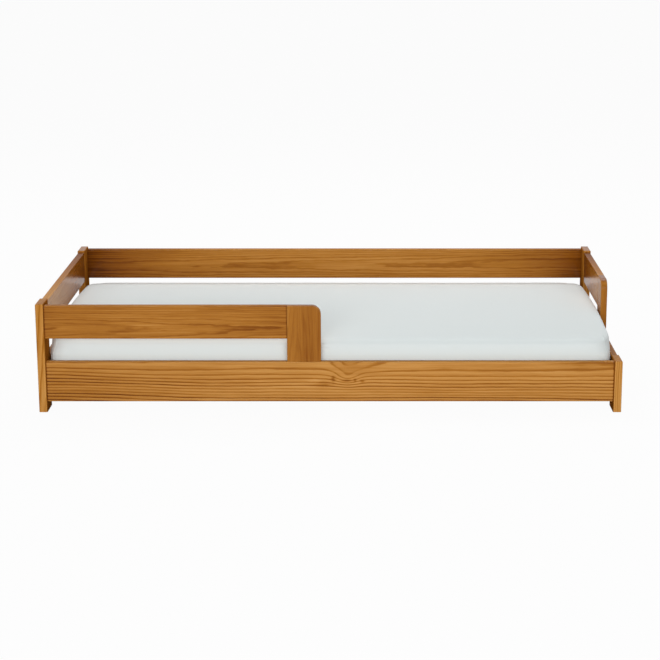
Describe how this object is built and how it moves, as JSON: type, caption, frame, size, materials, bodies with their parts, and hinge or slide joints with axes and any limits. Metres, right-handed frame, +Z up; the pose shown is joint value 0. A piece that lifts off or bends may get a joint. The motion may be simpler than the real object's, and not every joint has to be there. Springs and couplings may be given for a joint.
{
  "type": "junior bed",
  "caption": "Low junior bed in solid pine with a part-length front guard, an open front corner, slats and a loose mattress.",
  "frame": {"origin": "middle of the footprint, on the floor", "axes": "+X along the bed towards the open corner, +Y from the guard side to the back, +Z up"},
  "size_m": [1.554, 0.756, 0.296],
  "materials": {
    "varnished_pine": "amber stained pine, glossy varnish",
    "raw_pine": "planed pine, bare",
    "beech": "grooveless turned dowel, bare",
    "zinc_steel": "zinc plated",
    "white_sheet": "smooth cotton fitted sheet over foam"
  },
  "bodies": {
    "frame": {"post_front_left": "varnished_pine", "post_back_left": "varnished_pine", "post_back_right": "varnished_pine", "post_front_right": "varnished_pine", "front_low_rail": "varnished_pine", "guard_rail": "varnished_pine", "guard_stile": "varnished_pine", "back_upper_rail": "varnished_pine", "back_low_rail": "varnished_pine", "left_end_upper_rail": "varnished_pine", "left_end_low_rail": "varnished_pine", "right_end_upper_rail": "varnished_pine", "right_end_low_rail": "varnished_pine", "right_end_stile": "varnished_pine", "front_ledger": "raw_pine", "back_ledger": "raw_pine", "slat_1": "raw_pine", "slat_2": "raw_pine", "slat_3": "raw_pine", "slat_4": "raw_pine", "slat_5": "raw_pine", "slat_6": "raw_pine", "slat_7": "raw_pine", "slat_8": "raw_pine", "slat_9": "raw_pine", "slat_10": "raw_pine", "slat_11": "raw_pine", "slat_12": "raw_pine", "slat_13": "raw_pine", "rail_bolts": "zinc_steel", "barrel_nuts": "zinc_steel", "end_rail_dowels": "beech", "stile_dowels": "beech", "ledger_screws": "zinc_steel", "slat_screws": "zinc_steel"},
    "mattress": {"mattress": "white_sheet"}
  },
  "joints": [
    {"name": "mattress_lift", "type": "slide", "parent": "frame", "child": "mattress", "axis": [0, 0, 1], "range_m": [0, 0.3]}
  ]
}
